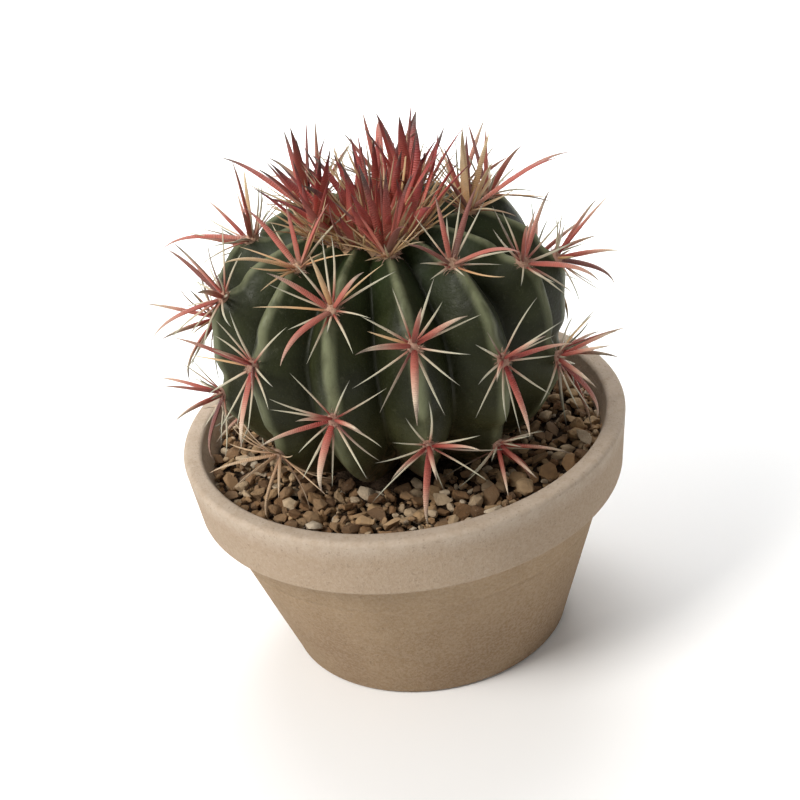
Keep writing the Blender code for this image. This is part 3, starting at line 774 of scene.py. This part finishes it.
def spine_mesh(root, direction, length, width, thick, face, curl, sides, steps, marks):
    """A spine drawn out of a small ring at its root, ring by ring, to its point.

    A stout one is a blade, widest a third of the way up, and a thin one tapers late.
    face is the way that the blade's flat side looks, curl is (axis, angle, how late it curls), and
    marks are its own tint, its kind (thin, stout or felt) and its age: 0 to 1, DRIED or STRAW.
    """
    bm = bmesh.new()
    layers = [bm.verts.layers.float.new(name) for name in ("along", "tint", "kind", "age")]
    across = direction.cross(face)
    across = across.normalized() if across.length > 0.2 else direction.orthogonal().normalized()
    ring = bmesh.ops.create_circle(bm, cap_ends=True, segments=sides, radius=width / 2)["verts"]
    cap = ring[0].link_faces[0]
    place = root.copy()
    bent = 0.0
    for step in range(steps + 1):
        share = step / steps
        rise = min(1, share / 0.35)
        base = 0.66 if marks[1] == STOUT else 0.88
        girth = max(0.04, (base + (1 - base) * rise * (2 - rise)) * (1 - share**2.7) ** 0.9)
        if step:
            now = curl[1] * share ** curl[2]
            direction = Matrix.Rotation(now - bent, 3, curl[0]) @ direction
            across = (across - direction * across.dot(direction)).normalized()
            bent = now
            place = place + direction * (length / steps)
            cap = bmesh.ops.extrude_discrete_faces(bm, faces=[cap])["faces"][0]
        up = across.cross(direction)
        for index, vert in enumerate(cap.verts):
            turn = 2 * math.pi * index / sides
            offset = across * (math.cos(turn) * width / 2) + up * (math.sin(turn) * thick / 2)
            vert.co = place + offset * girth
            for layer, value in zip(layers, (share, *marks)):
                vert[layer] = value
    bmesh.ops.recalc_face_normals(bm, faces=bm.faces)
    mesh = bpy.data.meshes.new("spine")
    bm.to_mesh(mesh)
    bm.free()
    return mesh


def add_mesh(bm, mesh, matrix=None, keep=False):
    """Adds the mesh to the bmesh: a copy of it, placed by the matrix, if it is kept."""
    part = mesh.copy() if keep else mesh
    if matrix is not None:
        part.transform(matrix)
    bm.from_mesh(part)
    bpy.data.meshes.remove(part)


rng = random.Random(21)
fibres = []
for kind in range(FIBRE_KINDS):
    curl = (Vector((1, 0, 0)), rng.uniform(-1.4, 1.4), 1.0)
    marks = ((kind + 0.5) / FIBRE_KINDS, FELT, 0.5)
    fibres.append(spine_mesh(Vector(), UP, 1.0, 0.085, 0.085, Vector((0, 1, 0)), curl, 3, 4, marks))


def add_wool(bm, roots, length, rng):
    """A curly fibre at each (place, direction), of a random length up to this one."""
    for place, direction in roots:
        spin = Matrix.Rotation(rng.uniform(0, 2 * math.pi), 4, "Z")
        size = Matrix.Scale(length * rng.uniform(0.45, 1.0), 4)
        towards = UP.rotation_difference(direction).to_matrix().to_4x4()
        add_mesh(bm, rng.choice(fibres), Matrix.Translation(place) @ towards @ spin @ size, keep=True)


def clear_of_pot(root, direction, length):
    """The direction turned up and in, until a straight spine would clear the gravel and the lip."""
    for _ in range(30):
        tip = root + direction * length
        radius = math.hypot(tip.x, tip.y)
        low = tip.z < TIP_LEVEL
        outside = radius > (RIM - LIP_WIDTH - 0.002 if tip.z < POT_HEIGHT + 0.003 else SPREAD)
        if not low and not outside:
            break
        if low:
            direction = (direction + UP * 0.06).normalized()
        if outside:
            direction = (direction - Vector((tip.x, tip.y, 0)) / radius * 0.05 + UP * 0.02).normalized()
    return direction


def random_direction(rng):
    """A direction, any way."""
    return Vector((rng.gauss(0, 1), rng.gauss(0, 1), rng.gauss(0, 1))).normalized()


def grow_areole(areole):
    """The areole's pad, radials and centrals, as one bmesh."""
    rng = random.Random(900 + areole.number)
    young = 1 - areole.age
    new = math.exp(-((areole.arc - FIRST_ARC) / 0.020) ** 2)  # 1 beside the crown, 0 away from it
    dry = areole.number in DRY
    age = DRIED if dry else areole.age
    straw = 0.55 if areole.number in GOLDEN else 0.06
    bm = bmesh.new()
    layers = [bm.verts.layers.float.new(name) for name in ("along", "tint", "kind", "age")]
    bmesh.ops.create_icosphere(bm, subdivisions=3, radius=0.5)
    axes = Matrix((areole.crownward, areole.side, areole.normal)).transposed()
    for vert in bm.verts:
        rough = 1 + 0.12 * noise.noise(vert.co * 6 + Vector((areole.number, 0, 0)))
        shaped = Vector((vert.co.x * PAD_LENGTH, vert.co.y * PAD_WIDTH, vert.co.z * PAD_HEIGHT * 2))
        shaped *= 0.80 + 0.20 * young
        vert.co = areole.place + axes @ (shaped * rough) + areole.normal * 0.0003
        for layer, value in zip(layers, (0.5, 0.3 + 0.3 * noise.noise(vert.co * 900), FELT, age)):
            vert[layer] = value
    roots = []
    for _ in range(110 + int(90 * young) + int(170 * new)):
        lean = (random_direction(rng) + areole.normal * 0.8).normalized()
        spot = areole.crownward * lean.dot(areole.crownward) * PAD_LENGTH * 0.50
        spot += areole.side * lean.dot(areole.side) * PAD_WIDTH * 0.50
        spot += areole.normal * (lean.dot(areole.normal) * PAD_HEIGHT * 0.7)
        roots.append((areole.place + spot, (lean + areole.normal * 0.2).normalized()))
    add_wool(bm, roots, 0.0014 + 0.0012 * young + 0.0016 * new, rng)

    radials = rng.choice((9, 10, 11)) + (4 if dry else 0) + int(3 * young + 6 * new)
    for index in range(radials):
        turn = 360 * (index + 0.5) / radials + rng.uniform(-13, 13)
        lift = 13 + rng.uniform(-8, 16) + 30 * young**2
        direction = areole.heading(turn, lift)
        edge = areole.heading(turn, 0)
        root = areole.place + areole.normal * 0.0008
        root += areole.crownward * edge.dot(areole.crownward) * PAD_LENGTH * 0.36
        root += areole.side * edge.dot(areole.side) * PAD_WIDTH * 0.36
        length = rng.uniform(*RADIAL_LENGTHS) * (1 - 0.15 * new)
        direction = clear_of_pot(root, direction, length)
        axis = (direction.cross(areole.normal).normalized() + random_direction(rng) * 0.7).normalized()
        curl = (axis, rng.uniform(-0.50, 0.35) * (2 if dry else 1), 1.4)
        marks = (rng.random(), THIN, STRAW if rng.random() < straw else age)
        width = rng.uniform(*RADIAL_WIDTHS)
        spine = spine_mesh(root, direction, length, width, width * 0.8, areole.normal, curl, 6, 9, marks)
        add_mesh(bm, spine)
    centrals = CENTRALS + YOUNG_CENTRALS if new > 0.2 else CENTRALS
    for turn, lift, length, width, thick, hook in centrals:
        turn += rng.uniform(-18, 18)
        lift = min(80, lift + rng.uniform(-10, 10) + 10 * young + 18 * new)
        length *= rng.uniform(0.80, 1.10) * (1 + 0.22 * young)
        width *= (1 + 0.45 * young**2 + 0.15 * new) * (0.55 if dry else 1)
        direction = areole.heading(turn, lift)
        root = areole.place + areole.heading(turn, 0) * 0.0010 + areole.normal * 0.0011
        direction = clear_of_pot(root, direction, length)
        axis = direction.cross(-UP)
        axis = axis.normalized() if axis.length > 0.1 else areole.side
        curl = (axis, hook * rng.uniform(0.6, 1.2) * (1 - 0.8 * new), 3.2)
        marks = (rng.random(), STOUT, STRAW if rng.random() < straw * 0.4 else age)
        spine = spine_mesh(root, direction, length, width, thick, areole.normal, curl, 8, 18, marks)
        add_mesh(bm, spine)
    return bm


# horn: the colour, roughness and rings of any spine, and of the felt, by what the mesh holds
horn, inside, outside = new_group(
    "spine_horn",
    {"Along": 0.5, "Tint": 0.5, "Kind": 1.0, "Age": 0.5},
    {"Colour": "NodeSocketColor", "Roughness": "NodeSocketFloat", "Height": "NodeSocketFloat"},
)
along, tint = inside.outputs["Along"], inside.outputs["Tint"]
kind, age = inside.outputs["Kind"], inside.outputs["Age"]
wander = math_node(horn, "MULTIPLY", math_node(horn, "SUBTRACT", tint, 0.5), 0.34)
shifted = math_node(horn, "ADD", along, wander, clamp=True)
stout = colour_ramp(horn, shifted, [
    (0.0, (0.200, 0.024, 0.020)), (0.18, (0.350, 0.058, 0.045)), (0.44, (0.480, 0.150, 0.110)),
    (0.68, (0.640, 0.390, 0.285)), (0.88, (0.680, 0.560, 0.420)), (1.0, (0.330, 0.260, 0.200)),
])
thin = colour_ramp(horn, shifted, [
    (0.0, (0.320, 0.075, 0.060)), (0.14, (0.450, 0.240, 0.170)), (0.34, (0.560, 0.480, 0.350)),
    (0.80, (0.500, 0.490, 0.370)), (1.0, (0.300, 0.290, 0.240)),
])
young_stout = colour_ramp(horn, shifted, [
    (0.0, (0.600, 0.330, 0.240)), (0.18, (0.600, 0.215, 0.155)), (0.50, (0.510, 0.120, 0.095)),
    (0.78, (0.320, 0.055, 0.053)), (0.94, (0.120, 0.048, 0.046)), (1.0, (0.130, 0.095, 0.085)),
])
young_thin = colour_ramp(horn, shifted, [
    (0.0, (0.560, 0.300, 0.150)), (0.35, (0.640, 0.430, 0.210)), (1.0, (0.450, 0.370, 0.250)),
])
dry_stout = colour_ramp(horn, shifted, [
    (0.0, (0.360, 0.200, 0.115)), (0.4, (0.540, 0.370, 0.225)), (1.0, (0.620, 0.480, 0.330)),
])
golden = colour_ramp(horn, shifted, [
    (0.0, (0.420, 0.170, 0.090)), (0.3, (0.580, 0.350, 0.170)), (1.0, (0.610, 0.470, 0.290)),
])
young = remap(horn, age, 0.62, 0.06)
new = remap(horn, age, 0.30, 0.12)
dry = remap(horn, age, 1.4, 1.6)
straw = remap(horn, age, 2.4, 2.6)
stout = mix_colour(horn, young, stout, young_stout)
thin = mix_colour(horn, new, thin, young_thin)
colour = mix_colour(horn, math_node(horn, "MINIMUM", kind, 1.0), thin, stout)
colour = mix_colour(horn, dry, colour, dry_stout)
colour = mix_colour(horn, straw, colour, golden)
burnt = math_node(horn, "MULTIPLY", remap(horn, tint, 0.20, 0.05), 0.65)
colour = mix_colour(horn, burnt, colour, (0.095, 0.062, 0.054, 1))
weather = noise_value(horn, 260.0, 4.0, 0.65)
colour = mix_colour(horn, remap(horn, weather, 0.5, 0.8, 0.0, 0.35), colour, (0.300, 0.230, 0.180, 1))
ring_phase = math_node(horn, "MULTIPLY", along, 240.0)
ring_phase = math_node(horn, "ADD", ring_phase, math_node(horn, "MULTIPLY", weather, 9.0))
shaded = remap(horn, math_node(horn, "SINE", ring_phase, 0.0), -0.2, 1.0, 0.0, 0.17)
colour = mix_colour(horn, math_node(horn, "MULTIPLY", shaded, kind), colour, (0.110, 0.040, 0.035, 1))
woolly = remap(horn, kind, 1.4, 1.6)
fibre = mix_colour(horn, tint, (0.270, 0.120, 0.085, 1), (0.600, 0.430, 0.340, 1))
fibre = laid_over(horn, fibre, young, 0.7, (0.640, 0.470, 0.310))
fibre = laid_over(horn, fibre, new, 0.5, (0.580, 0.360, 0.180))
fibre = laid_over(horn, fibre, dry, 0.7, (0.300, 0.220, 0.150))
horn.links.new(mix_colour(horn, woolly, colour, fibre), outside.inputs["Colour"])
horn.links.new(remap(horn, woolly, 0.0, 1.0, 0.46, 0.95), outside.inputs["Roughness"])
horny = math_node(horn, "SUBTRACT", math_node(horn, "MINIMUM", kind, 1.0), woolly)
rings = math_node(horn, "MULTIPLY", math_node(horn, "SINE", ring_phase, 0.0), horny)
horn.links.new(math_node(horn, "ADD", rings, noise_value(horn, 1500.0)), outside.inputs["Height"])


def horn_material(name):
    """A spine finish that reads the mesh's own floats."""
    material, tree, shader = new_material(name, roughness=0.46, specular=0.3)
    node = tree.nodes.new("ShaderNodeGroup")
    node.node_tree = horn
    for socket in ("Along", "Tint", "Kind", "Age"):
        tree.links.new(attribute(tree, socket.lower()), node.inputs[socket])
    tree.links.new(node.outputs["Colour"], shader.inputs["Base Color"])
    tree.links.new(node.outputs["Roughness"], shader.inputs["Roughness"])
    bumped(tree, shader, node.outputs["Height"], 0.00009, 0.8)
    return material


side_spine = horn_material("side_spine")
row_of = dict.fromkeys(range(RIBS), 0)
for areole in areoles[CROWN_AREOLES:]:
    row_of[areole.rib] += 1
    where = f"rib{areole.rib + 1:02d}_row{row_of[areole.rib]}"
    cluster = object_from(grow_areole(areole), f"areole_{where}", side_spine, 50)
    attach(cluster, "root")
    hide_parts(f"spines_{where}")


# ------------------------------------------------------------------ crown
# The growing tip is sunk in golden felt. Its young spines, broad dark-red blades with pink bases and
# grey tips, stand up in a dense tuft, with thin straw-coloured ones among them.

CROWN_BLADES = 72
CROWN_NEEDLES = 170
CROWN_FIBRES = 1300
FELT_RADIUS = 0.0180
FELT_FALL = 0.0034  # from its middle to its edge
BROAD_BLADE = (0.0030, 0.0044)
NARROW_BLADE = (0.0016, 0.0025)
NEEDLE_LENGTHS = (0.0110, 0.0260)
NEEDLE_WIDTHS = (0.0008, 0.0011)
GOLDEN_TURN = math.pi * (3 - math.sqrt(5))

rng = random.Random(77)
bm = bmesh.new()
layers = [bm.verts.layers.float.new(name) for name in ("along", "tint", "kind", "age")]
bmesh.ops.create_icosphere(bm, subdivisions=5, radius=1.0)
for vert in bm.verts:
    flat = Vector((vert.co.x, vert.co.y, 0)) * FELT_RADIUS
    seat = float(np.interp(flat.length, crest_r[:HALF], crest_z[:HALF]))
    share = flat.length / FELT_RADIUS
    lumps = 0.0009 * noise.noise(flat * 260 + Vector((0, 0, 4))) + 0.0006 * noise.noise(flat * 700)
    rise = vert.co.z * 0.0046 + lumps if vert.co.z > 0 else vert.co.z * 0.0012
    vert.co = flat + UP * (seat + rise - FELT_FALL * share**2)
    for layer, value in zip(layers, (0.5, 0.3 + 0.3 * noise.noise(vert.co * 800), FELT, 0.0)):
        vert[layer] = value


def crown_root(index, count, most):
    """A place on the felt, on a spiral from the middle out, and how it leans."""
    radius = FELT_RADIUS * most * math.sqrt((index + 0.5) / count)
    turn = index * GOLDEN_TURN
    flat = Vector((math.cos(turn), math.sin(turn), 0)) * radius
    seat = float(np.interp(radius, crest_r[:HALF], crest_z[:HALF]))
    return flat + UP * (seat + 0.0018 - 0.0030 * (radius / FELT_RADIUS) ** 2), flat / FELT_RADIUS


for index in range(CROWN_BLADES):
    root, lean = crown_root(index, CROWN_BLADES, 0.86)
    root -= UP * 0.0012
    share = lean.length
    sway = Vector((rng.gauss(0, 0.20), rng.gauss(0, 0.20), 0))
    direction = (UP + lean * (0.36 + 0.52 * share) + sway).normalized()
    length = (0.0215 + 0.0110 * share) * rng.uniform(0.70, 1.20)
    broad = rng.random() < 0.66
    width = rng.uniform(*(BROAD_BLADE if broad else NARROW_BLADE))
    width *= 0.62 + 0.40 * share
    face = lean + Vector((rng.gauss(0, 0.4), rng.gauss(0, 0.4), 0))
    curl = (direction.cross(lean + UP * 0.01).normalized(), rng.uniform(-0.35, 0.55), 2.2)
    marks = (rng.random(), STOUT, 0.0)
    add_mesh(bm, spine_mesh(root, direction, length, width, 0.0012, face, curl, 8, 16, marks))
for index in range(CROWN_NEEDLES):
    root, lean = crown_root(index, CROWN_NEEDLES, 1.0)
    sway = Vector((rng.gauss(0, 0.35), rng.gauss(0, 0.35), 0))
    direction = (UP + lean * 1.15 + sway).normalized()
    curl = (direction.orthogonal(), rng.uniform(-0.3, 0.3), 1.5)
    length = rng.uniform(*NEEDLE_LENGTHS)
    width = rng.uniform(*NEEDLE_WIDTHS)
    marks = (rng.random(), THIN, 0.1)
    add_mesh(bm, spine_mesh(root, direction, length, width, 0.0007, lean + UP * 0.01, curl, 6, 8, marks))
roots = []
for index in range(CROWN_FIBRES):
    root, lean = crown_root(index, CROWN_FIBRES, 1.04)
    sway = Vector((rng.gauss(0, 0.6), rng.gauss(0, 0.6), 0))
    roots.append((root + UP * 0.0010, (UP * 0.8 + lean * 0.9 + sway).normalized()))
add_wool(bm, roots, 0.0046, rng)
crown_spine = horn_material("crown_spine")
crown = object_from(bm, "crown_tuft", crown_spine, 50)
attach(crown, "root")
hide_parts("crown")
for mesh in fibres:
    bpy.data.meshes.remove(mesh)
